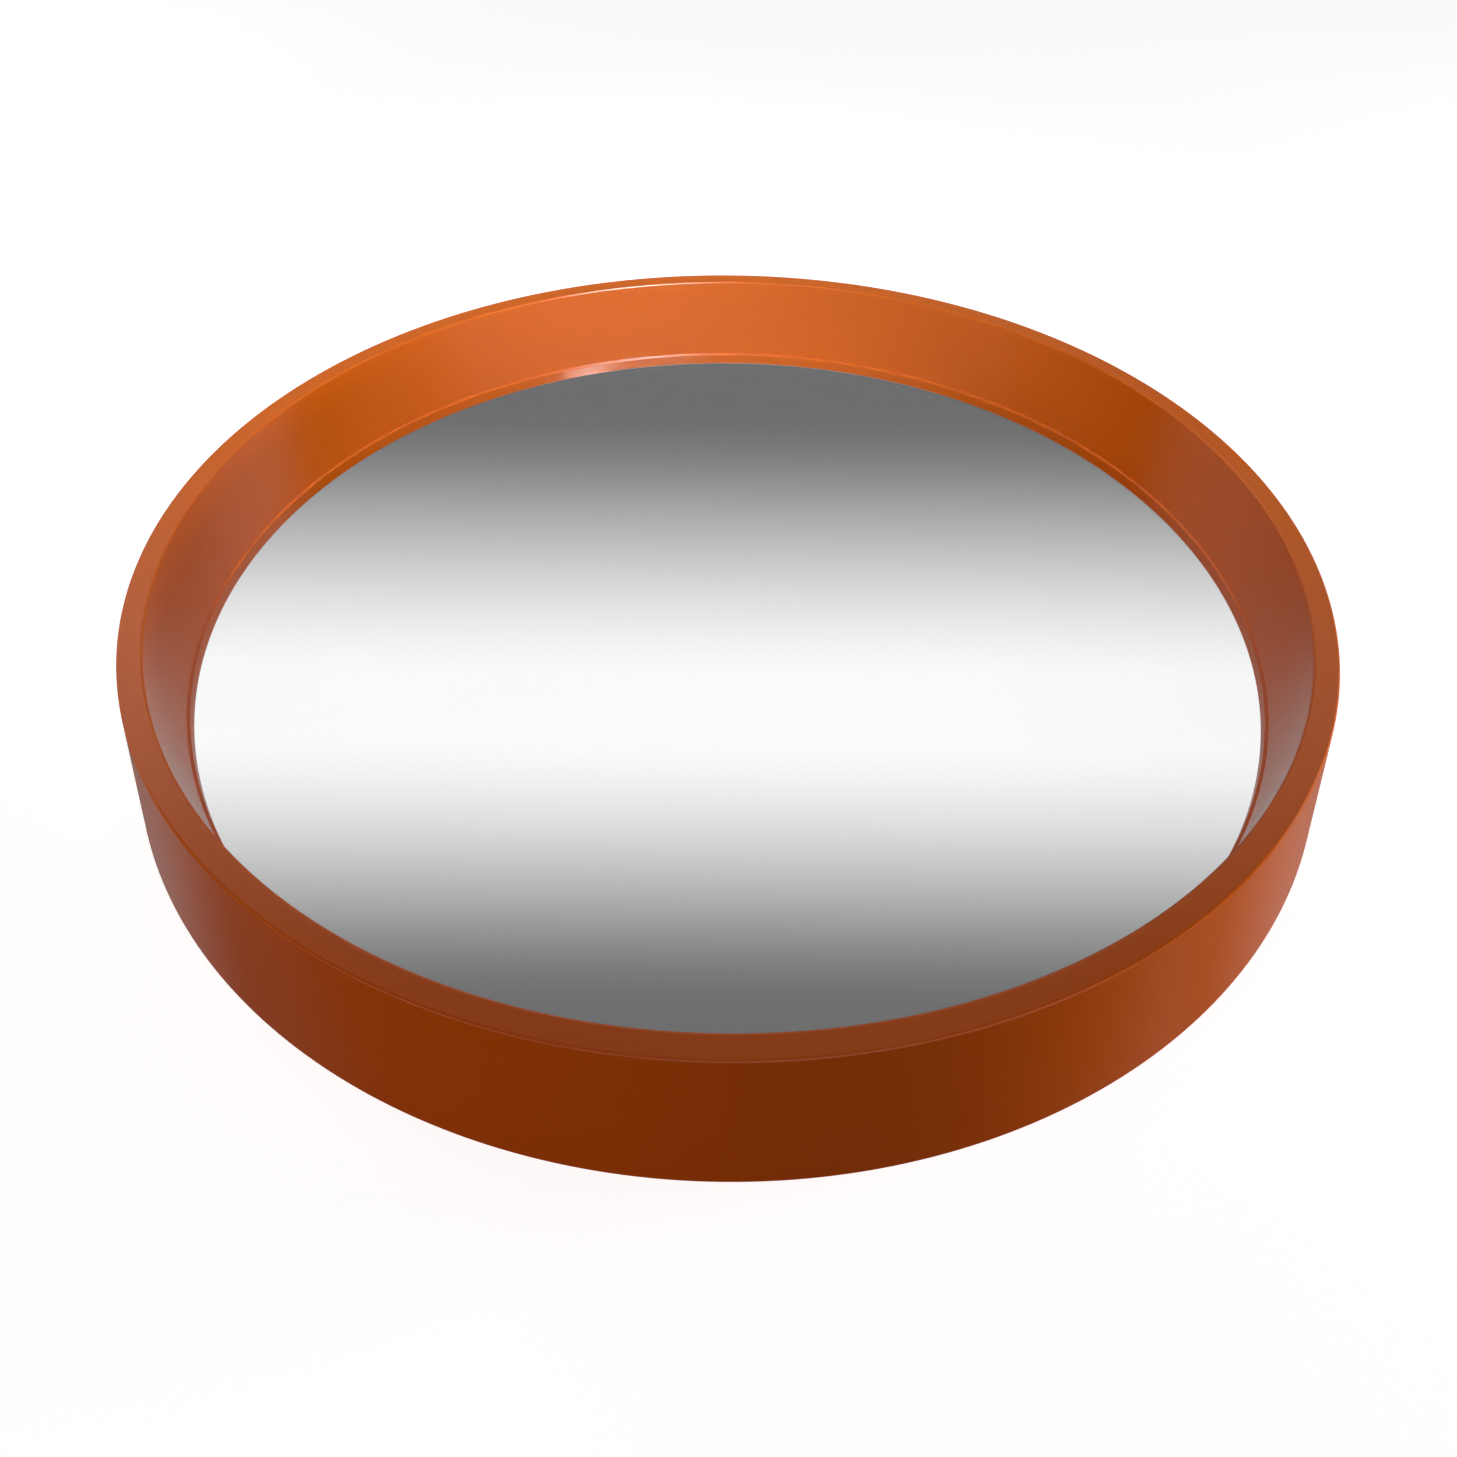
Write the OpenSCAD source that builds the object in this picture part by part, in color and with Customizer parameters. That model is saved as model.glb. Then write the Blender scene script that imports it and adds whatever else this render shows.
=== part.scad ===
// Round wall mirror in a one-piece moulded plastic rim.
// It lies on its back: z = 0 is the back edge, +Z points out of the glass, +Y is the top when hung.
// All sizes are in millimetres.

/* [Rim] */
// Outer diameter across the front edge of the rim
front_d = 500; // [480:5:510]
// Outer diameter at the back edge, where the flared wall ends
back_d = 521; // [516:1:530]
// Height from the back edge to the front face
rim_h = 58; // [58:1:64]
// Width of the flat front face, edge radii included
face_w = 9.5; // [9:0.5:12]
// Thickness of the moulded walls
wall = 3; // [2.5:0.25:3]
// Radius on the two edges of the front face
edge_r = 1; // [0.4:0.2:1.4]
// Stiffening ribs in the hollow of the rim, one of them at each turn button
rib_count = 24; // [12:6:36]

/* [Well] */
// Depth from the front face to the glass
well_depth = 48; // [44:0.5:48]
// Diameter of the glass that shows inside the lip
sight_d = 471; // [468:1:472]
// Height of the lip that the glass bears on
lip_h = 5.5; // [4:0.5:7]
// Width of the ledge on top of the lip
ledge_w = 1.2; // [0.8:0.1:1.6]

/* [Glass and backing] */
// Diameter of the glass disc
glass_d = 480; // [478:1:481]
// Thickness of the glass
glass_t = 3; // [2.8:0.1:3.2]
// Thickness of the hardboard back
board_t = 2.5; // [2.4:0.1:2.5]

/* [Turn buttons] */
// Reach of a turn button from its screw to its tip
tab_reach = 19; // [15:1:19]
// Width of a turn button
tab_w = 10; // [8:1:10]

/* [Hanger] */
// Distance of the hanger's hinge from the centre
hinge_y = 215; // [190:1:215]
// Width of the strap that holds the ring
strap_w = 14; // [10:1:14]
// Diameter of the ring's wire
wire_d = 2; // [1.6:0.1:2]
// Width of the ring between the centre lines of its sides
ring_w = 22; // [22:1:26]

/* [Hidden] */

arc_steps = 6;
button_count = 6;
front_r = front_d / 2;
back_r = back_d / 2;
mouth_r = front_r - face_w;

// The stack behind the lip, from the glass down to the back of the board
coat_t = 0.1;
cushion_t = 0.4;
glass_z = rim_h - well_depth;
coat_z = glass_z - glass_t;
cushion_z = coat_z - coat_t;
board_top = cushion_z - cushion_t;
board_z = board_top - board_t;

// The lip, and the skirt round the edge of the glass
lip_draft = 0.1;
sight_r = sight_d / 2;
lip_r = sight_r + lip_draft;
ledge_z = glass_z + lip_h;
foot_r = lip_r + ledge_w;
web_z = glass_z + wall;
glass_r = glass_d / 2;
board_r = glass_r + 0.5;
skirt_in_r = glass_r + 1;
skirt_out_r = skirt_in_r + 2.2;

// Screw bosses and ribs in the hollow behind the front face
button_r = back_r - 12;
boss_d = 9;
boss_h = 18;
rib_t = 2;
rib_z = board_z + 5.5;
bury = 1.5;

// Turn buttons and their screws
gap = 0.1;
tab_t = 1.2;
tab_z = board_z - gap - tab_t;
tab_lip = 1.6;
screw_d = 3.5;
screw_l = 13;
pilot_d = 2.8;
pilot_depth = 14;
tab_bore_d = screw_d + 0.16;
head_d = 7;
head_h = 2.1;
head_z = tab_z - gap;
slot_w = 0.9;
slot_depth = 1;

// Hanger: the strap is rolled round the straight bar of the ring
strap_t = 0.8;
strap_l = 24;
loop_r = wire_d / 2 + 0.05;
loop_out_r = loop_r + strap_t;
hinge_z = board_z - loop_out_r;
slit = 0.25;
rivet_d = 3;
rivet_head_d = 6;
rivet_head_h = 0.9;
rivet_flange_d = 6.4;
rivet_flange_t = 0.35;
rivet_y = [hinge_y - 6.5, hinge_y - 15];
ring_bend = 3;
ring_side = 6;
ring_l = ring_bend + ring_side + ring_w / 2;
ring_clear = 0.15;
ring_droop = asin((hinge_z - wire_d / 2 - ring_clear) / ring_l);

// Radius of the flared outer face, and of the well's tapered face, at height z
function outer_face(z) = back_r - (back_r - front_r) * z / rim_h;
function well_face(z) = foot_r + (mouth_r - foot_r) * (z - ledge_z) / (rim_h - ledge_z);

function unit(v) = v / norm(v);
function heading(v) = atan2(v[1], v[0]);
function shortest(a) = a > 180 ? a - 360 : a < -180 ? a + 360 : a;

// Points of the arc of radius r that rounds a corner between two straight edges
function arc_at(before, corner, after, r) =
    let (u = unit(before - corner),
         v = unit(after - corner),
         half = acos(u * v) / 2,
         centre = corner + unit(u + v) * r / sin(half),
         from = heading(corner + u * r / tan(half) - centre),
         sweep = shortest(heading(corner + v * r / tan(half) - centre) - from))
    [for (i = [0:arc_steps]) centre + r * [cos(from + sweep * i / arc_steps),
                                           sin(from + sweep * i / arc_steps)]];

// An outline from corners given as [x, y, radius], where radius 0 is a sharp corner
function outline(corners) =
    let (n = len(corners), xy = [for (c = corners) [c[0], c[1]]])
    [for (i = [0:n - 1])
        each corners[i][2] == 0 ? [xy[i]]
             : arc_at(xy[(i + n - 1) % n], xy[i], xy[(i + 1) % n], corners[i][2])];

// Section of the rim, as radius and height, from the back edge round the front to the hollow
rim_section = [
    [back_r, 0, 0.5],
    [front_r, rim_h, edge_r],
    [mouth_r, rim_h, edge_r],
    [foot_r, ledge_z, 0.5],
    [lip_r, ledge_z, 0.5],
    [sight_r, glass_z, 0],
    [skirt_in_r, glass_z, 0],
    [skirt_in_r, board_z, 0],
    [skirt_out_r, board_z, 0],
    [skirt_out_r, web_z, 0],
    [well_face(web_z) + wall, web_z, 0],
    [well_face(rim_h - wall) + wall, rim_h - wall, 1],
    [outer_face(rim_h - wall) - wall, rim_h - wall, 1],
    [outer_face(0) - wall, 0, 0]
];

// A rib fills the hollow from the front face down, and is buried in both walls
rib_section = [
    [well_face(rim_h - bury) + bury, rim_h - bury],
    [outer_face(rim_h - bury) - bury, rim_h - bury],
    [outer_face(rib_z) - bury, rib_z],
    [skirt_out_r - 1, rib_z],
    [well_face(ledge_z) + bury, ledge_z + 1]
];

// Places the children on the ring of screws, at turn button number i
module at_button(i) {
    rotate([0, 0, (i - 1) * 360 / button_count])
        translate([button_r, 0, 0])
            children();
}

module frame_rim() {
    color("orangered")
        difference() {
            union() {
                rotate_extrude($fn = 240)
                    polygon(outline(rim_section));
                for (i = [0:rib_count - 1])
                    rotate([0, 0, i * 360 / rib_count])
                        rotate([90, 0, 0])
                            linear_extrude(rib_t, center = true)
                                polygon(rib_section);
                for (i = [1:button_count])
                    at_button(i)
                        translate([0, 0, board_z])
                            cylinder(h = boss_h, d = boss_d, $fn = 40);
            }
            for (i = [1:button_count])
                at_button(i)
                    translate([0, 0, board_z - 1])
                        cylinder(h = pilot_depth + 1, d = pilot_d, $fn = 30);
        }
}

module mirror_glass() {
    color("lightcyan", 0.4)
        translate([0, 0, coat_z])
            cylinder(h = glass_t, r = glass_r, $fn = 240);
}

module silver_coat() {
    color("gainsboro")
        translate([0, 0, cushion_z])
            cylinder(h = coat_t, r = glass_r - 0.5, $fn = 240);
}

// Paper sheet with two holes that clear the rivet flanges
module cushion_sheet() {
    color("burlywood")
        translate([0, 0, board_top])
            difference() {
                cylinder(h = cushion_t, r = glass_r - 1, $fn = 240);
                for (y = rivet_y)
                    translate([0, y, -1])
                        cylinder(h = cushion_t + 2, d = rivet_flange_d + 1.6, $fn = 40);
            }
}

module backing_board() {
    color("sienna")
        translate([0, 0, board_z])
            difference() {
                cylinder(h = board_t, r = board_r, $fn = 240);
                for (y = rivet_y)
                    translate([0, y, -1])
                        cylinder(h = board_t + 2, d = rivet_d + 0.1, $fn = 30);
            }
}

// Flat plate with a round end, whose other end is rolled into an open loop
module hanger_strap() {
    plate_end = hinge_y - strap_l + strap_w / 2;
    color("silver")
        difference() {
            union() {
                translate([0, 0, board_z - strap_t])
                    linear_extrude(strap_t)
                        union() {
                            translate([-strap_w / 2, plate_end])
                                square([strap_w, hinge_y - plate_end]);
                            translate([0, plate_end])
                                circle(d = strap_w, $fn = 60);
                        }
                translate([-strap_w / 2, hinge_y, hinge_z])
                    rotate([0, 90, 0])
                        cylinder(h = strap_w, r = loop_out_r, $fn = 48);
            }
            translate([-strap_w / 2 - 1, hinge_y, hinge_z])
                rotate([0, 90, 0])
                    cylinder(h = strap_w + 2, r = loop_r, $fn = 48);
            translate([-strap_w / 2 - 1, hinge_y - loop_out_r - 0.2, board_z - strap_t - slit])
                cube([strap_w + 2, loop_out_r - 0.3, slit]);
            for (y = rivet_y)
                translate([0, y, board_z - strap_t - 1])
                    cylinder(h = strap_t + 2, d = rivet_d + 0.1, $fn = 30);
        }
}

// Domed head under the strap, shank through the board, flat flange in the paper's hole
module rivet() {
    rotate_extrude($fn = 40)
        polygon(outline([
            [0, -rivet_head_h, 0],
            [rivet_head_d / 2, -rivet_head_h, 0.6],
            [rivet_head_d / 2, 0, 0],
            [rivet_d / 2, 0, 0],
            [rivet_d / 2, strap_t + board_t, 0],
            [rivet_flange_d / 2, strap_t + board_t, 0],
            [rivet_flange_d / 2, strap_t + board_t + rivet_flange_t, 0],
            [0, strap_t + board_t + rivet_flange_t, 0]
        ]));
}

module strap_rivets() {
    color("silver")
        for (y = rivet_y)
            translate([0, y, board_z - strap_t])
                rivet();
}

// A stretch of the ring's wire along X, centred
module wire(l) {
    rotate([0, 90, 0])
        cylinder(h = l, d = wire_d, center = true, $fn = 32);
}

// A bend of the ring's wire about Z, from angle a through the given sweep
module bend(r, a, sweep) {
    rotate([0, 0, a])
        rotate_extrude(angle = sweep, $fn = 72)
            translate([r, 0])
                circle(d = wire_d, $fn = 32);
}

// The ring lies towards +Y and droops until its end almost reaches the table
module hanger_ring() {
    half_w = ring_w / 2;
    color("silver")
        translate([0, hinge_y, hinge_z])
            rotate([-ring_droop, 0, 0]) {
                wire(ring_w - 2 * ring_bend);
                for (side = [-1, 1]) {
                    translate([side * (half_w - ring_bend), ring_bend, 0])
                        bend(ring_bend, side > 0 ? -90 : 180, 90);
                    translate([side * half_w, ring_bend + ring_side / 2, 0])
                        rotate([0, 0, 90])
                            wire(ring_side);
                }
                translate([0, ring_bend + ring_side, 0])
                    bend(half_w, 0, 180);
            }
}

// Slotted pan-head screw, point up
module button_screw() {
    difference() {
        rotate_extrude($fn = 40)
            polygon(outline([
                [0, -head_h, 0],
                [head_d / 2, -head_h, 1.3],
                [head_d / 2, 0, 0],
                [screw_d / 2, 0, 0],
                [screw_d / 2, screw_l - 3, 0],
                [0.2, screw_l, 0],
                [0, screw_l, 0]
            ]));
        translate([-head_d / 2, -slot_w / 2, -head_h - 1])
            cube([head_d, slot_w, slot_depth + 1]);
    }
}

module button_screws() {
    color("silver")
        for (i = [1:button_count])
            at_button(i)
                translate([0, 0, head_z])
                    rotate([0, 0, 47 * i])
                        button_screw();
}

// A flat tab that points at the centre, with an upturned lip at its tip for a finger
module turn_button(i) {
    color("lightgray")
        at_button(i)
            translate([0, 0, tab_z])
                difference() {
                    union() {
                        linear_extrude(tab_t)
                            union() {
                                circle(d = tab_w, $fn = 60);
                                translate([-tab_reach, -tab_w / 2])
                                    square([tab_reach, tab_w]);
                            }
                        translate([-tab_reach, -tab_w / 2, -tab_lip])
                            cube([tab_t, tab_w, tab_lip + tab_t]);
                    }
                    translate([0, 0, -1])
                        cylinder(h = tab_t + 2, d = tab_bore_d, $fn = 40);
                }
}

frame_rim();
mirror_glass();
silver_coat();
cushion_sheet();
backing_board();
hanger_strap();
strap_rivets();
hanger_ring();
button_screws();
for (i = [1:6])
    turn_button(i);
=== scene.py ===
# %% [markdown]
# # A round mirror in a moulded plastic rim
#
# The object is a wall mirror that lies on its back: a glass disc at the bottom of a deep well, in a
# one-piece rim of glossy orange plastic. This file is a lesson in cells. Before each step it says what
# the piece is on the real mirror, how it could be made in Blender, and why this way was picked.
#
# The hard model comes first. It fixes every size and every place, and the looks are built round it.

# %% Load the frame
import math

import bpy
from mathutils import Matrix, Vector


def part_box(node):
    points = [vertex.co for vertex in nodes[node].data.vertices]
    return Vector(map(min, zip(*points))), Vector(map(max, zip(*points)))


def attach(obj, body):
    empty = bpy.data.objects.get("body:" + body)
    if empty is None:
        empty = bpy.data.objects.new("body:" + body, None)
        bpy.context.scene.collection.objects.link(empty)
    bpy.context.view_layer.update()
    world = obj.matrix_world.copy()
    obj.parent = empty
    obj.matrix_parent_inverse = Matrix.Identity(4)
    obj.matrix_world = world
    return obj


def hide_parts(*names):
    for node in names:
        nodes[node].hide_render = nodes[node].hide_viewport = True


MM = 0.001
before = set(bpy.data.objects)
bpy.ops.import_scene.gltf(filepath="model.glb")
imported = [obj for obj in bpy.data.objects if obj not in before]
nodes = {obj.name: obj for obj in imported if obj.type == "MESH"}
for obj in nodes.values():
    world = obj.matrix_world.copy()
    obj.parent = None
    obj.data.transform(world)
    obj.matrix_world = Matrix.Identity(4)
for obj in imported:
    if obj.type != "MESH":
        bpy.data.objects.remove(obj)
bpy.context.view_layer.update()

# %% [markdown]
# ## The camera
#
# The mirror is seen by someone who stands at its bottom edge and looks down on it from half a metre.
# A camera that close bends the circle into an egg: the near side of the rim looks larger and its outer
# wall shows, while the far side shows the inside of the well. A longer lens from further off would
# give two plain ellipses and lose that. The last turn is the small lean of a camera held by hand.

# %% Camera
RIM_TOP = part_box("frame_rim")[1].z
LENS_DISTANCE = 0.5207
LENS_ABOVE = math.radians(36.64)
LOOK_DOWN = math.radians(45.91)
LOOK_ASIDE = math.radians(-0.04)
LEAN = math.radians(0.59)
LENS = 29.27
SENSOR = 36

scene = bpy.context.scene
camera = bpy.data.objects.new("camera", bpy.data.cameras.new("camera"))
scene.collection.objects.link(camera)
scene.camera = camera
camera.data.sensor_width = SENSOR
camera.data.lens = LENS
camera.location = (
    0,
    -LENS_DISTANCE * math.cos(LENS_ABOVE),
    RIM_TOP + LENS_DISTANCE * math.sin(LENS_ABOVE),
)
tilt = Matrix.Rotation(math.pi / 2 - LOOK_DOWN, 3, "X")
aside = Matrix.Rotation(LOOK_ASIDE, 3, "Y")
lean = Matrix.Rotation(LEAN, 3, "Z")
camera.rotation_euler = (tilt @ aside @ lean).to_euler()
scene.view_settings.view_transform = "Standard"
print("camera at", [round(x, 3) for x in camera.location])

# %% [markdown]
# ## A small language for nodes
#
# Materials, the world and Geometry Nodes are all trees of nodes, and wiring them by hand buries the
# idea under links. Two small classes keep it readable. `Value` wraps a socket and takes part in
# Python sums, so `1 - mask` adds a Math node. `Nodes` adds any other node: its settings are set
# first, then its sockets are fed with numbers, colours or other values.

# %% Values and nodes
class Value:
    """A socket that can be used in Python sums."""

    def __init__(self, maker, socket):
        self.maker = maker
        self.socket = socket

    def pick(self, name):
        """Another output of the same node."""
        return Value(self.maker, self.socket.node.outputs[name])

    def __add__(self, other):
        return self.maker.math("ADD", self, other)

    def __sub__(self, other):
        return self.maker.math("SUBTRACT", self, other)

    def __rsub__(self, other):
        return self.maker.math("SUBTRACT", other, self)

    def __mul__(self, other):
        return self.maker.math("MULTIPLY", self, other)

    __radd__ = __add__
    __rmul__ = __mul__


class Nodes:
    """Adds nodes to one tree."""

    def __init__(self, tree):
        self.tree = tree
        self.tree.nodes.clear()

    def add(self, kind, settings=None, values=None, out=0):
        """A new node with its settings and its fed sockets; gives one of its outputs."""
        node = self.tree.nodes.new(kind)
        for name, setting in (settings or {}).items():
            if name == "stops":
                self.set_stops(node.color_ramp.elements, setting)
            else:
                setattr(node, name, setting)
        for key, value in (values or {}).items():
            self.feed(node.inputs[key], value)
        return Value(self, node.outputs[out]) if len(node.outputs) else node

    def set_stops(self, elements, stops):
        """Stops of a colour ramp, as (place, grey) pairs."""
        while len(elements) < len(stops):
            elements.new(0.5)
        for element, (place, grey) in zip(elements, stops):
            element.position = place
            element.color = (grey, grey, grey, 1)

    def feed(self, socket, value):
        if isinstance(value, Value):
            self.tree.links.new(value.socket, socket)
        else:
            socket.default_value = value

    def math(self, operation, *values):
        return self.add("ShaderNodeMath", {"operation": operation}, dict(enumerate(values)))

    def noise(self, place, scale, detail=2.0):
        values = {"Vector": place, "Scale": scale, "Detail": detail}
        return self.add("ShaderNodeTexNoise", None, values, out="Fac")

    def mix(self, share, first, second):
        """One colour turning into another."""
        values = {0: share, 6: first, 7: second}
        return self.add("ShaderNodeMix", {"data_type": "RGBA"}, values, out=2)

    def between(self, value, low, high):
        """0 below low, 1 above high and a smooth step from one to the other."""
        settings = {"interpolation_type": "SMOOTHSTEP"}
        return self.add(
            "ShaderNodeMapRange", settings, {"Value": value, "From Min": low, "From Max": high}
        )


def linear(red, green, blue):
    """A colour given as it looks on a screen, from 0 to 255, as the light a shader wants."""
    return tuple(
        part / 12.92 if part <= 0.04045 else ((part + 0.055) / 1.055) ** 2.4
        for part in (red / 255, green / 255, blue / 255)
    ) + (1.0,)


def finish(name):
    """A new material, and the maker of its nodes."""
    material = bpy.data.materials.new(name)
    material.use_nodes = True
    return material, Nodes(material.node_tree)


print("node helpers ready")

# %% [markdown]
# ## The plastic
#
# The rim is ABS, coloured right through and moulded in a polished tool. Its orange is deep: a lot of
# red, a seventh as much green and almost no blue, so shaded parts turn brick red instead of grey. The
# gloss on top is plain white. Real mouldings are never quite even, so a broad noise moves the colour
# and the roughness by a few percent, and a bump of a few microns gives the skin its orange peel.

# %% Orange plastic
def orange_plastic():
    material, make = finish("orange_abs")
    place = make.add("ShaderNodeTexCoord", out="Object")
    clouds = make.noise(place, 7.0, 3.0)
    specks = make.noise(place, 1400.0, 1.0)
    peel = make.noise(place, 260.0, 2.0)
    colour = make.mix(clouds, linear(217, 93, 6), linear(223, 101, 8))
    skin = make.add(
        "ShaderNodeBump", None, {"Strength": 0.25, "Distance": 0.04 * MM, "Height": peel}
    )
    shader = make.add(
        "ShaderNodeBsdfPrincipled",
        None,
        {
            "Base Color": colour,
            "Roughness": 0.16 + 0.05 * clouds + 0.02 * specks,
            "IOR": 1.48,
            "Normal": skin,
        },
    )
    make.add("ShaderNodeOutputMaterial", None, {"Surface": shader})
    return material


PLASTIC = orange_plastic()
print("made", PLASTIC.name)

# %% [markdown]
# ## Glass and silver
#
# A mirror is two finishes. The silver on the back does the mirroring, and the 3 mm of clear glass in
# front of it adds a weak second reflection and the green of its edge. Painting both into one metal
# would be simpler, but then the glass would have no thickness where it meets the lip. The face is
# perfectly smooth and the cut edge is ground matt, so the roughness follows the distance from the
# centre.

# %% Glass and silver
GLASS_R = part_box("mirror_glass")[1].x
GROUND_FROM = GLASS_R - 0.4 * MM
GROUND_FULLY = GLASS_R - 0.2 * MM


def clear_glass():
    material, make = finish("clear_glass")
    place = make.add("ShaderNodeTexCoord", out="Object")
    radius = make.add("ShaderNodeVectorMath", {"operation": "LENGTH"}, {0: place}, out="Value")
    cut_edge = make.between(radius, GROUND_FROM, GROUND_FULLY)
    shader = make.add(
        "ShaderNodeBsdfPrincipled",
        None,
        {
            "Base Color": (0.988, 0.992, 0.99, 1),
            "Roughness": 0.7 * cut_edge,
            "IOR": 1.52,
            "Transmission Weight": 1.0,
        },
    )
    make.add("ShaderNodeOutputMaterial", None, {"Surface": shader})
    return material


def silver():
    material, make = finish("silver")
    place = make.add("ShaderNodeTexCoord", out="Object")
    veil = make.noise(place, 14.0, 4.0)
    shader = make.add(
        "ShaderNodeBsdfPrincipled",
        None,
        {
            "Base Color": make.mix(veil, (0.965, 0.97, 0.97, 1), (0.98, 0.98, 0.98, 1)),
            "Metallic": 1.0,
            "Roughness": 0.01 + 0.01 * veil,
        },
    )
    make.add("ShaderNodeOutputMaterial", None, {"Surface": shader})
    return material


GLASS = clear_glass()
SILVER = silver()
print("made", GLASS.name, "and", SILVER.name)

# %% [markdown]
# ## Board and paper
#
# The back is hardboard: wood fibre pressed under heat. Its brown is mottled at the size of a thumb
# and flecked with single fibres a few millimetres long. A stretched noise makes the flecks. The paper
# behind the glass is the same idea, paler and flatter.

# %% Hardboard and kraft paper
def fibre_sheet(name, dark, pale, roughness):
    material, make = finish(name)
    place = make.add("ShaderNodeTexCoord", out="Object")
    stretch = make.add("ShaderNodeMapping", None, {"Vector": place, "Scale": (420, 90, 420)})
    cross = make.add("ShaderNodeMapping", None, {"Vector": place, "Scale": (110, 480, 420)})
    mottle = make.noise(place, 38.0, 4.0)
    flecks = make.between(make.noise(stretch, 1.0), 0.56, 0.72)
    flecks += make.between(make.noise(cross, 1.0), 0.58, 0.74)
    tone = make.between(mottle + 0.25 * flecks, 0.3, 0.9)
    bump = make.add(
        "ShaderNodeBump", None, {"Strength": 0.4, "Distance": 0.1 * MM, "Height": mottle + flecks}
    )
    shader = make.add(
        "ShaderNodeBsdfPrincipled",
        None,
        {
            "Base Color": make.mix(tone, dark, pale),
            "Roughness": roughness + 0.12 * mottle,
            "Normal": bump,
        },
    )
    make.add("ShaderNodeOutputMaterial", None, {"Surface": shader})
    return material


HARDBOARD = fibre_sheet("hardboard", linear(92, 62, 38), linear(146, 104, 66), 0.5)
PAPER = fibre_sheet("kraft_paper", linear(160, 128, 92), linear(186, 154, 114), 0.7)
print("made", HARDBOARD.name, "and", PAPER.name)

# %% [markdown]
# ## Zinc plate
#
# Screws, tabs, strap and ring are steel with bright zinc plate. New, it is blue-white and shiny. In
# use it dulls in patches, and sliding parts get fine lines. So the roughness follows a cloudy mask
# and the bump is a noise pulled out along one axis.

# %% Zinc
def zinc_plate():
    material, make = finish("zinc_plate")
    place = make.add("ShaderNodeTexCoord", out="Object")
    patches = make.between(make.noise(place, 160.0, 3.0), 0.4, 0.66)
    drawn = make.add("ShaderNodeMapping", None, {"Vector": place, "Scale": (300, 4200, 900)})
    lines = make.noise(drawn, 1.0, 2.0)
    bump = make.add(
        "ShaderNodeBump", None, {"Strength": 0.2, "Distance": 0.02 * MM, "Height": lines}
    )
    shader = make.add(
        "ShaderNodeBsdfPrincipled",
        None,
        {
            "Base Color": make.mix(patches, linear(206, 208, 210), linear(176, 172, 160)),
            "Metallic": 1.0,
            "Roughness": 0.26 + 0.2 * patches,
            "Normal": bump,
        },
    )
    make.add("ShaderNodeOutputMaterial", None, {"Surface": shader})
    return material


ZINC = zinc_plate()
print("made", ZINC.name)

# %% [markdown]
# ## Dress the hard model
#
# The silver, the sheets and all the steel are already right in the hard model: turned, rolled or cut
# shapes whose curves are fine enough. They keep their mesh and get a finish. Every node not listed here
# gets the zinc; the glass and the rim are hidden further down and made again.

# %% Finishes on the hard model's nodes
DRESS = {
    "silver_coat": SILVER,
    "cushion_sheet": PAPER,
    "backing_board": HARDBOARD,
}
for name, node in nodes.items():
    node.material_slots[0].material = DRESS.get(name, ZINC)
print("dressed", len(nodes), "nodes")

# %% [markdown]
# ## The section of the rim
#
# The rim has the same section all the way round: a wall that flares to the back, a flat front face, a
# well that narrows to a ledge and a lip, then a skirt round the glass. Between the two walls it is
# hollow. The section is drawn once, as corners with a radius each. A rounded corner becomes an arc
# with a point just before and just after it, which keeps the shading of the flat stretches flat.

# %% Section
FRONT_R = 250 * MM
BACK_R = 260.5 * MM
MOUTH_R = FRONT_R - 9.5 * MM
SIGHT_R = 235.5 * MM
LIP_R = SIGHT_R + 0.1 * MM
FOOT_R = LIP_R + 1.2 * MM
WALL = 3 * MM
glass_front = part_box("mirror_glass")[1].z
board_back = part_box("backing_board")[0].z
LEDGE_Z = glass_front + 5.5 * MM
WEB_Z = glass_front + WALL
SKIRT_IN_R = 241 * MM
SKIRT_OUT_R = SKIRT_IN_R + 2.2 * MM
SUPPORT = 0.25 * MM


def outer_face(z):
    """Radius of the flared outer wall at a height."""
    return BACK_R - (BACK_R - FRONT_R) * z / RIM_TOP


def well_face(z):
    """Radius of the tapered well at a height."""
    return FOOT_R + (MOUTH_R - FOOT_R) * (z - LEDGE_Z) / (RIM_TOP - LEDGE_Z)


def arc_at(before, corner, after, radius, steps=8):
    """The points that round one corner, with a support point on each side."""
    to_before = (before - corner).normalized()
    to_after = (after - corner).normalized()
    half = to_before.angle(to_after) / 2
    reach = radius / math.tan(half)
    centre = corner + (to_before + to_after).normalized() * radius / math.sin(half)
    start = corner + to_before * reach - centre
    end = corner + to_after * reach - centre
    first = math.atan2(start.y, start.x)
    sweep = math.remainder(math.atan2(end.y, end.x) - first, math.tau)
    turns = [first + sweep * i / steps for i in range(steps + 1)]
    arc = [centre + Vector((math.cos(turn), math.sin(turn))) * radius for turn in turns]
    return [corner + to_before * (reach + SUPPORT), *arc, corner + to_after * (reach + SUPPORT)]


def outline(corners):
    """An outline from (radius, height, rounding) corners."""
    points = [Vector(corner[:2]) for corner in corners]
    drawn = []
    for i, corner in enumerate(corners):
        before, after = points[i - 1], points[(i + 1) % len(points)]
        drawn += arc_at(before, points[i], after, corner[2]) if corner[2] else [points[i]]
    return drawn


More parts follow.
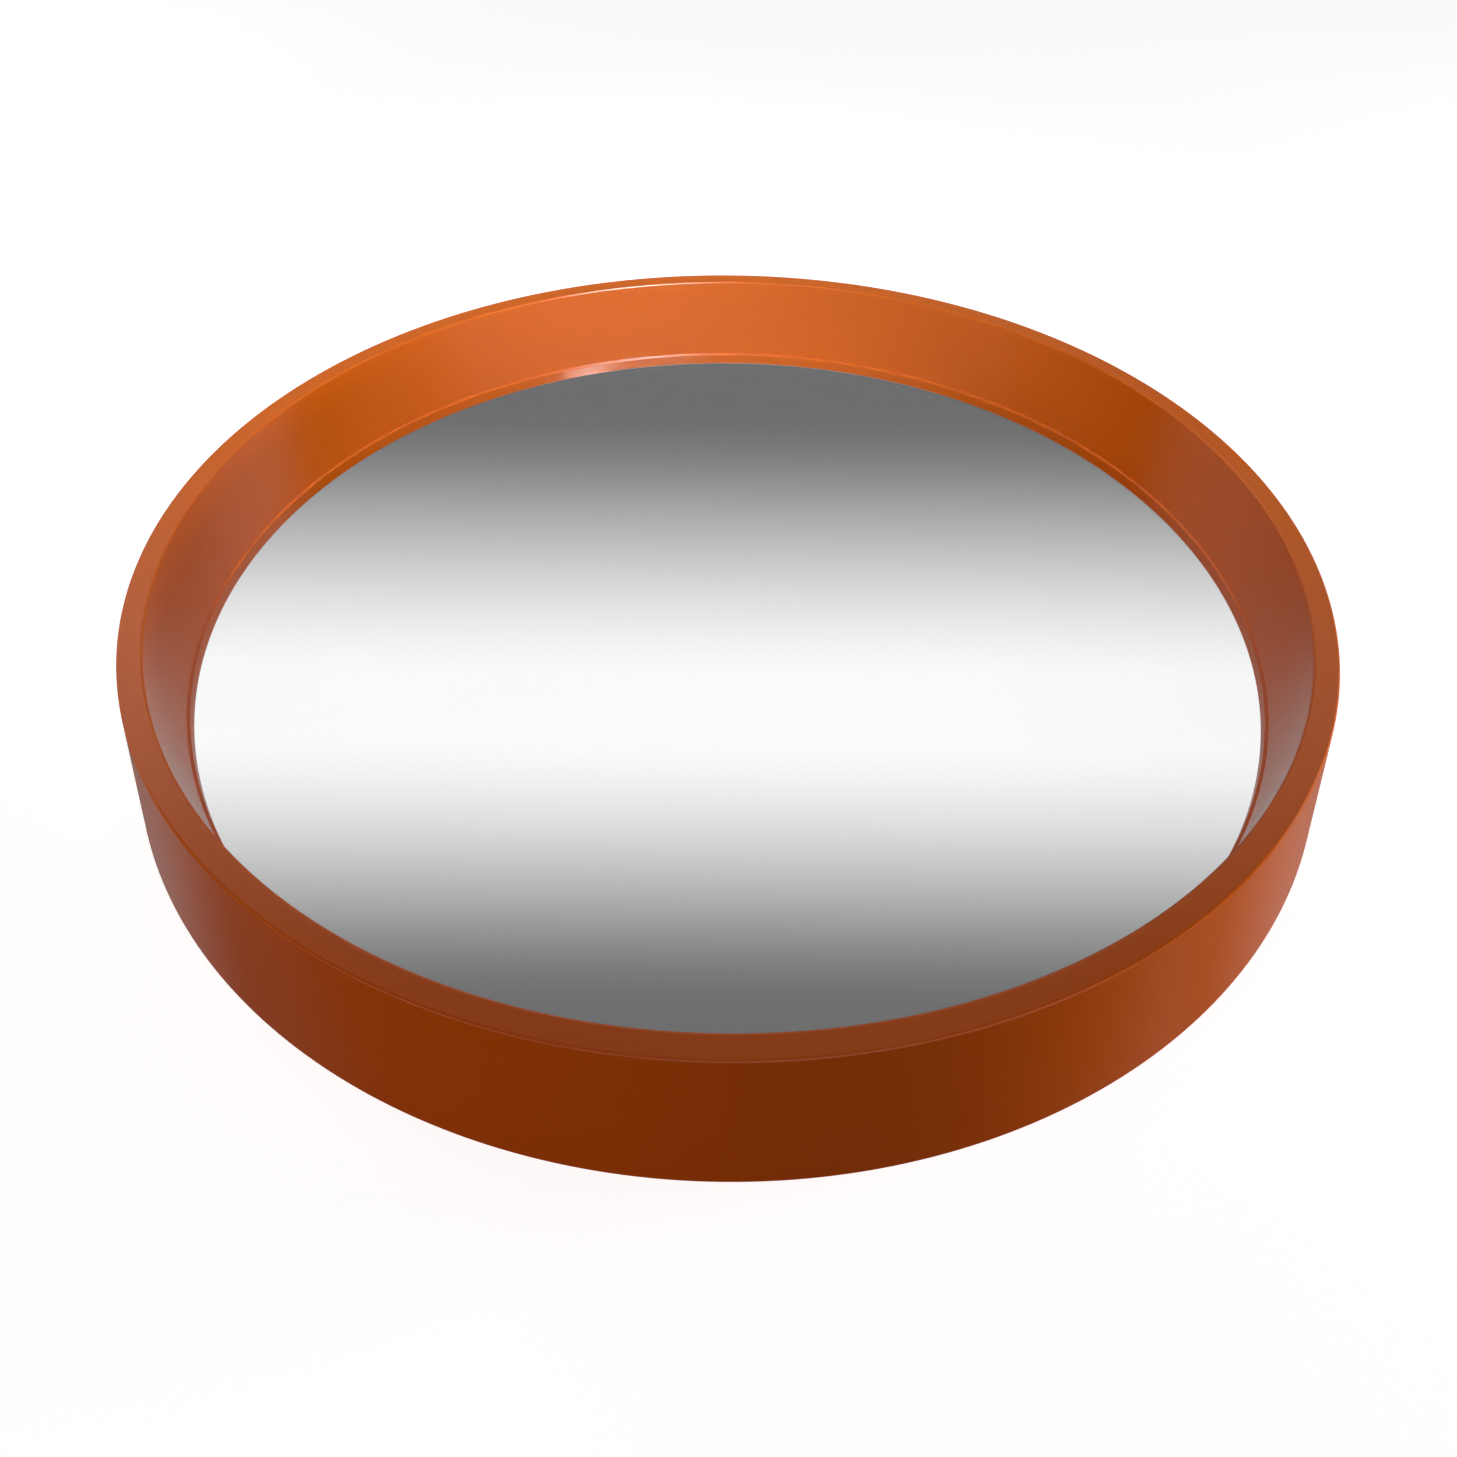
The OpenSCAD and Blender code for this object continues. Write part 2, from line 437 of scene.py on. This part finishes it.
hollow_top = RIM_TOP - WALL
RIM_SECTION = outline([
    (BACK_R, 0, 0.5 * MM),
    (FRONT_R, RIM_TOP, 1.0 * MM),
    (MOUTH_R, RIM_TOP, 1.0 * MM),
    (FOOT_R, LEDGE_Z, 0.5 * MM),
    (LIP_R, LEDGE_Z, 0.5 * MM),
    (SIGHT_R, glass_front, 0.15 * MM),
    (SKIRT_IN_R, glass_front, 0),
    (SKIRT_IN_R, board_back, 0.2 * MM),
    (SKIRT_OUT_R, board_back, 0.2 * MM),
    (SKIRT_OUT_R, WEB_Z, 0),
    (well_face(WEB_Z) + WALL, WEB_Z, 0),
    (well_face(hollow_top) + WALL, hollow_top, 1.0 * MM),
    (outer_face(hollow_top) - WALL, hollow_top, 1.0 * MM),
    (outer_face(0) - WALL, 0, 0.3 * MM),
])
print("section has", len(RIM_SECTION), "points")

# %% [markdown]
# ## Sweep the rim with Geometry Nodes
#
# A section that follows a circle is the simplest rule there is. It could be spun with the Screw
# modifier, but Geometry Nodes keep the circle and the section as two inputs: a Curve Circle carries
# the section through Curve to Mesh. On a flat circle the section's X points outwards and its Y points
# down, so the outline is handed over relative to the circle and upside down.

# %% Geometry tree helpers
SHARP_ANGLE = math.radians(35)


def geometry_tree(name, inputs):
    """A geometry tree with named inputs, its node maker and a Value for each input."""
    tree = bpy.data.node_groups.new(name, "GeometryNodeTree")
    for title, kind in inputs.items():
        tree.interface.new_socket(name=title, in_out="INPUT", socket_type=kind)
    tree.interface.new_socket(name="Geometry", in_out="OUTPUT", socket_type="NodeSocketGeometry")
    make = Nodes(tree)
    entry = tree.nodes.new("NodeGroupInput")
    return tree, make, {title: Value(make, entry.outputs[title]) for title in inputs}


def close_tree(make, shape, material):
    """Ends a tree in Realize Instances, Set Material and the output."""
    real = make.add("GeometryNodeRealizeInstances", None, {"Geometry": shape})
    dressed = make.add("GeometryNodeSetMaterial", None, {"Geometry": real, "Material": material})
    make.add("NodeGroupOutput", None, {"Geometry": dressed})


def grow(name, tree, values):
    """Runs a geometry tree and keeps its result as a plain mesh object."""
    seed = bpy.data.objects.new("seed", bpy.data.meshes.new("seed"))
    scene.collection.objects.link(seed)
    modifier = seed.modifiers.new("grow", "NODES")
    modifier.node_group = tree
    for item in tree.interface.items_tree:
        if item.in_out == "INPUT":
            modifier[item.identifier] = values[item.name]
    grown = seed.evaluated_get(bpy.context.evaluated_depsgraph_get())
    mesh = bpy.data.meshes.new_from_object(grown)
    bpy.data.objects.remove(seed)
    mesh.materials.clear()
    mesh.materials.append(values["Material"])
    mesh.name = name
    mesh.set_sharp_from_angle(angle=SHARP_ANGLE)
    piece = bpy.data.objects.new(name, mesh)
    scene.collection.objects.link(piece)
    return piece


def drawn_curve(name, outline_points, circle_radius):
    """A section for a tree to carry round a circle, closed unless it starts on the axis.

    Drawn backwards, it turns the faces outwards.
    """
    data = bpy.data.curves.new(name, "CURVE")
    data.dimensions = "3D"
    spline = data.splines.new("POLY")
    spline.points.add(len(outline_points) - 1)
    for place, point in zip(spline.points, reversed(outline_points)):
        place.co = (point.x - circle_radius, -point.y, 0, 1)
    spline.use_cyclic_u = min(point.x for point in outline_points) > 0
    return bpy.data.objects.new(name, data)


print("geometry helpers ready")

# %% The rim
STEPS_ROUND = 360
WELD = 0.002 * MM
SWEEP_INPUTS = {
    "Section": "NodeSocketObject",
    "Radius": "NodeSocketFloat",
    "Steps": "NodeSocketInt",
    "Material": "NodeSocketMaterial",
}
sweep_tree, make, given = geometry_tree("sweep_round", SWEEP_INPUTS)
circle_sizes = {"Resolution": given["Steps"], "Radius": given["Radius"]}
circle = make.add("GeometryNodeCurvePrimitiveCircle", None, circle_sizes)
section = make.add("GeometryNodeObjectInfo", None, {"Object": given["Section"]}, out="Geometry")
swept = make.add("GeometryNodeCurveToMesh", None, {"Curve": circle, "Profile Curve": section})
welded = make.add("GeometryNodeMergeByDistance", None, {"Geometry": swept, "Distance": WELD})
smooth = make.add("GeometryNodeSetShadeSmooth", None, {"Geometry": welded})
close_tree(make, smooth, given["Material"])


def turned(name, section_points, radius, steps, material):
    """A piece swept round the Z axis from its section."""
    curve = drawn_curve(name + "_section", section_points, radius)
    values = {"Section": curve, "Radius": radius, "Steps": steps, "Material": material}
    return grow(name, sweep_tree, values)


def keep_out_of_glass(piece):
    """The glass then shows the room alone, in an even sweep from edge to edge."""
    piece.visible_transmission = False
    piece.visible_glossy = False


rim = turned("moulded_rim", RIM_SECTION, FRONT_R, STEPS_ROUND, PLASTIC)
keep_out_of_glass(rim)
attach(rim, "mirror")
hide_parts("frame_rim")
print(rim.name, len(rim.data.vertices), "vertices")

# %% [markdown]
# ## The pane
#
# The pane is turned in the same way, from a section that starts and ends on the axis. Its sharp cut
# edges are ground off, as a glazier does it. It stands a hair above the silver, because two surfaces
# in exactly the same place would fight over each ray of light.

# %% Pane
HAIR = 0.02 * MM
ARRIS = 0.4 * MM
pane_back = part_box("mirror_glass")[0].z + HAIR
pane_section = outline([
    (0, pane_back, 0),
    (GLASS_R, pane_back, ARRIS),
    (GLASS_R, glass_front, ARRIS),
    (0, glass_front, 0),
])
pane = turned("mirror_pane", pane_section, GLASS_R, STEPS_ROUND, GLASS)
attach(pane, "mirror")
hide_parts("mirror_glass")
print(pane.name, "is", round(2 * GLASS_R / MM), "mm across")

# %% [markdown]
# ## Ribs and screw bosses
#
# The hollow behind the front face is stiffened by ribs, one every 15 degrees, and six of them carry a
# boss for a screw. They are moulded with the rim, in the same plastic. One rib and one boss are
# modelled, and Instance on Points sets them round a circle: each instance is turned by its own index.

# %% Ribs and bosses
BURY = 1.5 * MM
RIB_T = 2 * MM
RIB_Z = board_back + 5.5 * MM
RIB_COUNT = 24
BOSS_R = 4.5 * MM
BOSS_H = 18 * MM
PILOT_R = 1.4 * MM
BUTTON_COUNT = 6
BUTTON_R = BACK_R - 12 * MM


def prism(name, points, thickness):
    """A flat outline in the XZ plane, drawn anticlockwise and thickened along Y."""
    count = len(points)
    corners = [(x, y, z) for y in (-thickness / 2, thickness / 2) for x, z in points]
    front = list(range(count))
    back = list(range(2 * count - 1, count - 1, -1))
    sides = [(i, i + count, (i + 1) % count + count, (i + 1) % count) for i in range(count)]
    mesh = bpy.data.meshes.new(name)
    mesh.from_pydata(corners, [], [front, back, *sides])
    return bpy.data.objects.new(name, mesh)


def ring_tree(name):
    """Sets copies of an object evenly round a circle, each turned to face outwards."""
    inputs = {
        "Part": "NodeSocketObject",
        "Count": "NodeSocketInt",
        "Radius": "NodeSocketFloat",
        "Material": "NodeSocketMaterial",
    }
    tree, make, given = geometry_tree(name, inputs)
    points = make.add(
        "GeometryNodeMeshCircle", None, {"Vertices": given["Count"], "Radius": given["Radius"]}
    )
    part = make.add("GeometryNodeObjectInfo", None, {"Object": given["Part"]}, out="Geometry")
    turn = make.add("GeometryNodeInputIndex") * make.math("DIVIDE", math.tau, given["Count"])
    facing = make.add("ShaderNodeCombineXYZ", None, {"Z": turn})
    copies = make.add(
        "GeometryNodeInstanceOnPoints", None, {"Points": points, "Instance": part, "Rotation": facing}
    )
    close_tree(make, copies, given["Material"])
    return tree


around = ring_tree("set_round")
rib_top = RIM_TOP - BURY
rib_outline = [
    (outer_face(rib_top) - BURY, rib_top),
    (well_face(rib_top) + BURY, rib_top),
    (well_face(LEDGE_Z) + BURY, LEDGE_Z),
    (SKIRT_OUT_R - BURY, WEB_Z - BURY),
    (SKIRT_OUT_R - BURY, RIB_Z),
    (outer_face(RIB_Z) - BURY, RIB_Z),
]
rib = prism("rib", rib_outline, RIB_T)
ribs = grow(
    "rim_ribs", around, {"Part": rib, "Count": RIB_COUNT, "Radius": 0.0, "Material": PLASTIC}
)

boss_section = outline([
    (PILOT_R, board_back, 0.2 * MM),
    (BOSS_R, board_back, 0.4 * MM),
    (BOSS_R, board_back + BOSS_H, 0.4 * MM),
    (PILOT_R, board_back + BOSS_H, 0.2 * MM),
])
boss = turned("boss", boss_section, BOSS_R, 40, PLASTIC)
bosses = grow(
    "screw_bosses",
    around,
    {"Part": boss, "Count": BUTTON_COUNT, "Radius": BUTTON_R, "Material": PLASTIC},
)
bpy.data.objects.remove(boss)
for moulded in (ribs, bosses):
    keep_out_of_glass(moulded)
    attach(moulded, "mirror")
print("ribs and bosses:", len(ribs.data.polygons), "and", len(bosses.data.polygons), "faces")

# %% [markdown]
# ## The table
#
# The mirror stands on a plain white table. A real white table would throw light back up at the outer
# wall, which is the darkest part of the rim. So the table is bright only for the camera and a darker
# grey for the light that bounces. Seen from below it is clear, so that the back can be looked at.

# %% Table
TABLE_SIZE = 8.0
TABLE_Z = -0.3 * MM
TABLE_GREY = (0.35, 0.35, 0.35, 1)
TABLE_GLOW = 0.88


def table_finish():
    material, make = finish("white_table")
    path = make.add("ShaderNodeLightPath", out="Is Camera Ray")
    below = make.add("ShaderNodeNewGeometry", out="Backfacing")
    paint = make.add("ShaderNodeBsdfDiffuse", None, {"Color": TABLE_GREY})
    light = {"Color": (1, 1, 1, 1), "Strength": path * TABLE_GLOW}
    glow = make.add("ShaderNodeEmission", None, light)
    seen = make.add("ShaderNodeAddShader", None, {0: paint, 1: glow})
    clear = make.add("ShaderNodeBsdfTransparent")
    surface = make.add("ShaderNodeMixShader", None, {0: below, 1: seen, 2: clear})
    make.add("ShaderNodeOutputMaterial", None, {"Surface": surface})
    return material


half = TABLE_SIZE / 2
table_mesh = bpy.data.meshes.new("table")
table_mesh.from_pydata(
    [(x, y, TABLE_Z) for x, y in ((-half, -half), (half, -half), (half, half), (-half, half))],
    [],
    [(0, 1, 2, 3)],
)
table_mesh.materials.append(table_finish())
table = bpy.data.objects.new("table", table_mesh)
scene.collection.objects.link(table)
table.visible_glossy = False
table.visible_shadow = False
print("table is", TABLE_SIZE, "m wide")

# %% [markdown]
# ## The room
#
# Gloss and mirrors show what stands round the object, so a room is made for them in the world's
# shader. It is worked out from the direction alone. Its main feature is a long soft tube of light that
# runs from left to right beyond the mirror's top edge, 45 degrees up, and fades to grey on both sides.
# The brightness then depends only on the angle round that tube, which gives straight bands in the
# glass. The camera's side of the room is bright low down, more so on the right, as if it had windows
# there. The world isn't allowed to light matt surfaces, because the lamps do that.
#
# Two things are held back, so that the orange stays deep. The plastic also sees the tube by way of the
# glass, and there its strength has a limit, lower on the left. The upper far right corner of the room
# is dimmer for plain gloss. A ray's depth counts whole bounces, so a limit on it stands between two
# counts.

# %% Room
FAR_SIDE = [
    (-90, 0.05), (-60, 0.22), (-35, 0.1), (-15, 0.28), (5, 0.28),
    (30.8, 0.155), (45.0, 1.04), (59.3, 0.155), (61, 0.15), (66, 0.02),
]
NEAR_SIDE = [
    (-90, 0.14), (-60, 0.02), (-15, 0.0), (2, 0.8),
    (15, 1.0), (30, 0.85), (45, 0.22), (90, 0.1),
]
ROOM_LIGHT = 1.07
LEFT_SHARE = 0.6
TUBE_LIMIT = (0.38, 0.7)
RIGHT_LOSS = 0.45
BACKDROP = (0.9, 0.9, 0.9, 1)
NONE_YET = 0.5
MORE_THAN_ONE = 1.5

world = bpy.data.worlds.new("room")
scene.world = world
world.use_nodes = True
make = Nodes(world.node_tree)
outwards = make.add("ShaderNodeTexCoord", out="Generated")
direction = make.add("ShaderNodeSeparateXYZ", None, {0: outwards})
right = direction.pick("X")
away = direction.pick("Y")
up = direction.pick("Z")
path = make.add("ShaderNodeLightPath")
round_tube = make.math("ARCTAN2", up, make.math("ABSOLUTE", away)) * (1 / math.pi) + 0.5


def bands(stops):
    """Brightness of one side of the room by the angle round the tube, in degrees."""
    settings = {"stops": [(degrees / 180 + 0.5, grey) for degrees, grey in stops]}
    ramp = make.add("ShaderNodeValToRGB", settings, {"Fac": round_tube})
    ramp.socket.node.color_ramp.interpolation = "EASE"
    return ramp


second_gloss = make.math("GREATER_THAN", path.pick("Glossy Depth"), MORE_THAN_ONE)
limit = TUBE_LIMIT[0] + (TUBE_LIMIT[1] - TUBE_LIMIT[0]) * make.between(right, 0.2, 0.8)
far = make.math("MINIMUM", bands(FAR_SIDE), 1 - (1 - limit) * second_gloss)
plain_gloss = make.math("LESS_THAN", path.pick("Transmission Depth"), NONE_YET)
corner = make.between(right, 0.2, 0.42) * make.between(up, 0.35, 0.5)
far = far * (1 - RIGHT_LOSS * plain_gloss * corner)
near = bands(NEAR_SIDE) * (LEFT_SHARE + (1 - LEFT_SHARE) * make.between(right, -0.5, 0.3))
room = make.mix(make.between(away, -0.05, 0.05), near, far)
shown = make.mix(path.pick("Is Camera Ray"), room, BACKDROP)
background = make.add("ShaderNodeBackground", None, {"Color": shown, "Strength": ROOM_LIGHT})
make.add("ShaderNodeOutputWorld", None, {"Surface": background})
world.cycles_visibility.diffuse = False
print("the room has", len(FAR_SIDE) + len(NEAR_SIDE), "stops in its bands")

# %% [markdown]
# ## A glowing grey skin for reflections
#
# The rim is left out of all reflections, so a ray in the hollow behind it would see the lights outside
# through the plastic. A skin half way through the wall is meant to stop that. It is no lamp, but it
# glows with a plain grey, so what gloss finds there is a painted reflection. Only gloss sees it,
# and only from inside: a ray that comes through it from the well goes on as if nothing were there.
#
# It doesn't work yet for a camera below the table, where white patches show in the hollow. The skin lets
# through any ray that has already passed a clear surface, and from below the table is one.

# %% Glowing grey skin
# The grey the skin glows with: a painted reflection, not a lamp.
SKIN_GLOW_GREY = 0.165
HALF_WALL = WALL / 2


def glowing_grey_finish():
    material, make = finish("grey_skin")
    grey = (SKIN_GLOW_GREY, SKIN_GLOW_GREY, SKIN_GLOW_GREY, 1)
    inside = make.add("ShaderNodeNewGeometry", out="Backfacing")
    passed = make.add("ShaderNodeLightPath", out="Transparent Depth")
    seen = inside * make.math("LESS_THAN", passed, NONE_YET)
    # The skin glows grey, a painted reflection for gloss rays inside the hollow.
    glow = make.add("ShaderNodeEmission", None, {"Color": grey})
    clear = make.add("ShaderNodeBsdfTransparent")
    surface = make.add("ShaderNodeMixShader", None, {0: seen, 1: clear, 2: glow})
    make.add("ShaderNodeOutputMaterial", None, {"Surface": surface})
    return material


skin_section = [
    Vector((BACK_R - HALF_WALL, HALF_WALL)),
    Vector((FRONT_R - HALF_WALL, RIM_TOP - HALF_WALL)),
    Vector((MOUTH_R + HALF_WALL, RIM_TOP - HALF_WALL)),
    Vector((FOOT_R + HALF_WALL, LEDGE_Z - HALF_WALL)),
]
skin = turned("grey_skin", skin_section, FRONT_R, STEPS_ROUND, glowing_grey_finish())
skin.visible_camera = False
skin.visible_diffuse = False
skin.visible_transmission = False
skin.visible_shadow = False
print("skin has", len(skin.data.polygons), "faces")

# %% [markdown]
# ## The lamps
#
# Two spots over the camera's shoulders reach into the far side of the well, where the wall is
# brightest. Two lamps rake across the well from the sides and light the walls that face them. A low
# one on the right picks out the flare of the outer wall. Two weak, slightly warm ones fill the front,
# and a weak one overhead keeps the top from going flat. All of them are kept out of the reflections,
# which belong to the room. One more lights the back for whoever looks from below.

# %% Lamps
SPOT_BULB = 0.12


def lamp(name, place, aim, size, watts, kind="AREA", colour=(1, 1, 1)):
    """A lamp that matt surfaces see and reflections don't. Its size is (width, height) or a cone."""
    data = bpy.data.lights.new(name, kind)
    data.energy = watts
    data.color = colour
    if kind == "AREA":
        data.shape = "RECTANGLE"
        data.size, data.size_y = size
    else:
        data.spot_size, data.spot_blend = size
        data.shadow_soft_size = SPOT_BULB
    made = bpy.data.objects.new(name, data)
    scene.collection.objects.link(made)
    made.location = place
    made.rotation_euler = (Vector(aim) - Vector(place)).to_track_quat("-Z", "Y").to_euler()
    made.visible_camera = False
    made.visible_glossy = False
    made.visible_transmission = False
    return made


CONE = (math.radians(24), 1.0)
COOL = (0.8, 1.0, 1.0)
WARM = (1.0, 0.82, 0.8)
lamp("left_shoulder", (-0.3, -0.75, 1.15), (-0.13, 0.23, 0.03), CONE, 82, "SPOT", COOL)
lamp("right_shoulder", (0.3, -0.75, 1.15), (0.15, 0.22, 0.03), CONE, 46, "SPOT", COOL)
lamp("right_rake", (1.4, 0.1, 0.3), (0, 0, 0.04), (0.4, 0.25), 9.3)
lamp("left_rake", (-1.2, 0.7, 0.3), (0, 0, 0.04), (0.4, 0.25), 5.0)
lamp("right_low", (1.3, 0.1, 0.05), (0.2, 0.0, 0.03), (0.6, 0.08), 7.4)
lamp("left_fill", (-1.0, -1.0, 0.5), (0, 0, 0.03), (0.4, 0.4), 4.8, colour=WARM)
lamp("right_fill", (1.0, -1.0, 0.5), (0, 0, 0.03), (0.4, 0.4), 1.4, colour=WARM)
lamp("overhead", (0, 0, 1.6), (0, 0, 0), (1.2, 1.2), 2.9)
lamp("underneath", (0, 0, -1.4), (0, 0, 0), (1.2, 1.2), 30)

# %% [markdown]
# ## Glints
#
# Thin bright lines along rounded edges are what makes plastic look moulded and polished. They come
# from small bright panes that only the gloss sees: their shader gives nothing once a ray has bounced
# off a matt surface. The panes stand to the right behind the camera and show in the far left of the
# rim, the large one in its rounded edges and the two low ones in the lip, by way of the glass. The near
# side of the rim has no such lines, so a ray that is shorter by GLINT_SPARED metres gets nothing.

# %% Glints
GLINT_AIM = Vector((-0.05, 0.23, 0.03))
GLINT_AWAY = 4.0
GLINT_SPARED = 0.13


def glint(name, azimuth, elevation, wide, high, brightness):
    """A pane that only reflections see. Its place and its size are angles, as seen from the rim."""
    turn, rise = math.radians(azimuth), math.radians(elevation)
    level = math.cos(rise)
    ray = Vector((math.sin(turn) * level, -math.cos(turn) * level, math.sin(rise)))
    width, height = (2 * GLINT_AWAY * math.tan(math.radians(angle) / 2) for angle in (wide, high))
    watts = brightness * math.pi * width * height
    pane_of_light = lamp(name, GLINT_AIM + GLINT_AWAY * ray, GLINT_AIM, (width, height), watts)
    pane_of_light.visible_diffuse = False
    pane_of_light.visible_glossy = True
    pane_of_light.visible_transmission = True
    pane_of_light.data.use_nodes = True
    make = Nodes(pane_of_light.data.node_tree)
    path = make.add("ShaderNodeLightPath")
    unspoilt = make.math("LESS_THAN", path.pick("Diffuse Depth"), NONE_YET)
    from_afar = make.math("GREATER_THAN", path.pick("Ray Length"), GLINT_AWAY - GLINT_SPARED)
    glow = make.add("ShaderNodeEmission", None, {"Strength": unspoilt * from_afar})
    make.add("ShaderNodeOutputLight", None, {"Surface": glow})


glint("edge_pane", 25, 52, 15, 16, 100)
glint("lip_pane", 34, 29, 7, 10, 28)
glint("lip_haze", 20, 29, 20, 10, 2.2)
